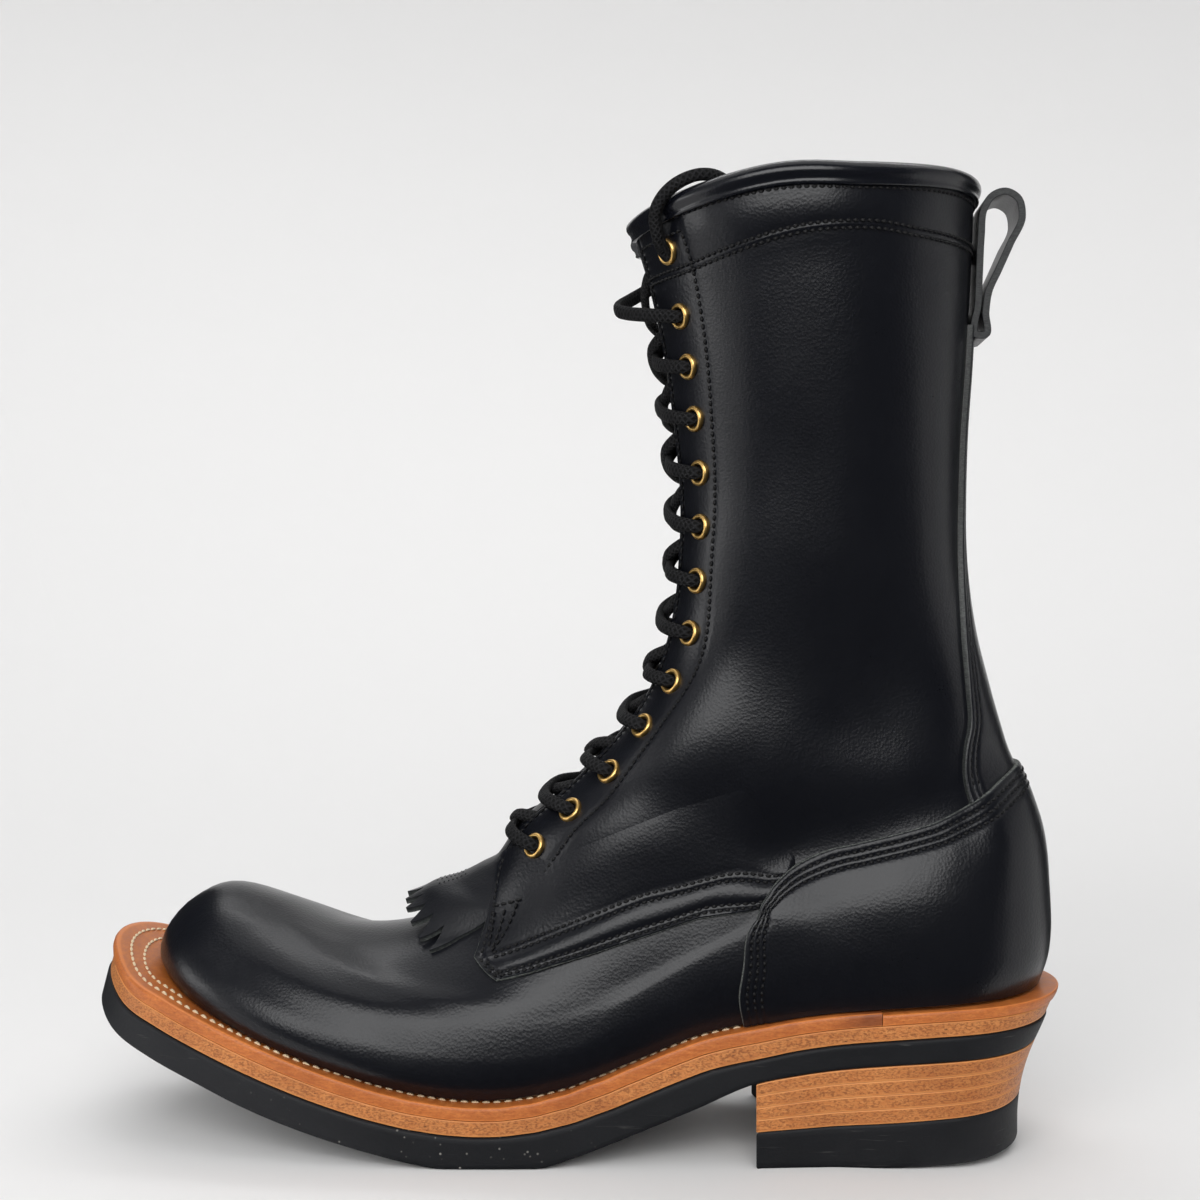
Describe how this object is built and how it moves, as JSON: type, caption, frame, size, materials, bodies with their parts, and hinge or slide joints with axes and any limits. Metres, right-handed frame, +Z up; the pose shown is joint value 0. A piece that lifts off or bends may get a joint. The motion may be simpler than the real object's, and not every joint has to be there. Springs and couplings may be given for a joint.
{
  "type": "kiltie boot",
  "caption": "Black leather lace-up boot with fringed kiltie, tall shaft, brass eyelets, leather midsole and stacked heel.",
  "frame": {"origin": "middle of the boot's outline on the plane it stands on, under heel and forefoot", "axes": "toe along -X, outer side of the left foot along -Y, shaft up along +Z"},
  "size_m": [0.3097, 0.1117, 0.3005],
  "materials": {
    "black_leather": "satin",
    "binding_leather": "gloss",
    "black_rubber": "matte",
    "stacked_leather": "satin",
    "welt_leather": "satin",
    "insole_leather": "matte",
    "eyelet_brass": "polished",
    "lace_cord": "matte"
  },
  "bodies": {
    "root": {"backstay": "black_leather", "collar_binding": "binding_leather", "counter": "black_leather", "eyelet_l01": "eyelet_brass", "eyelet_l02": "eyelet_brass", "eyelet_l03": "eyelet_brass", "eyelet_l04": "eyelet_brass", "eyelet_l05": "eyelet_brass", "eyelet_l06": "eyelet_brass", "eyelet_l07": "eyelet_brass", "eyelet_l08": "eyelet_brass", "eyelet_l09": "eyelet_brass", "eyelet_l10": "eyelet_brass", "eyelet_l11": "eyelet_brass", "eyelet_l12": "eyelet_brass", "eyelet_l13": "eyelet_brass", "eyelet_r01": "eyelet_brass", "eyelet_r02": "eyelet_brass", "eyelet_r03": "eyelet_brass", "eyelet_r04": "eyelet_brass", "eyelet_r05": "eyelet_brass", "eyelet_r06": "eyelet_brass", "eyelet_r07": "eyelet_brass", "eyelet_r08": "eyelet_brass", "eyelet_r09": "eyelet_brass", "eyelet_r10": "eyelet_brass", "eyelet_r11": "eyelet_brass", "eyelet_r12": "eyelet_brass", "eyelet_r13": "eyelet_brass", "heel_lift_1": "stacked_leather", "heel_lift_2": "stacked_leather", "heel_lift_3": "stacked_leather", "heel_lift_4": "stacked_leather", "heel_rand": "welt_leather", "heel_toplift": "black_rubber", "insole": "insole_leather", "kiltie": "black_leather", "lace": "lace_cord", "lace_end": "lace_cord", "midsole": "stacked_leather", "outsole": "black_rubber", "pull_loop": "black_leather", "tongue": "black_leather", "upper": "black_leather", "welt": "welt_leather"}
  },
  "joints": []
}
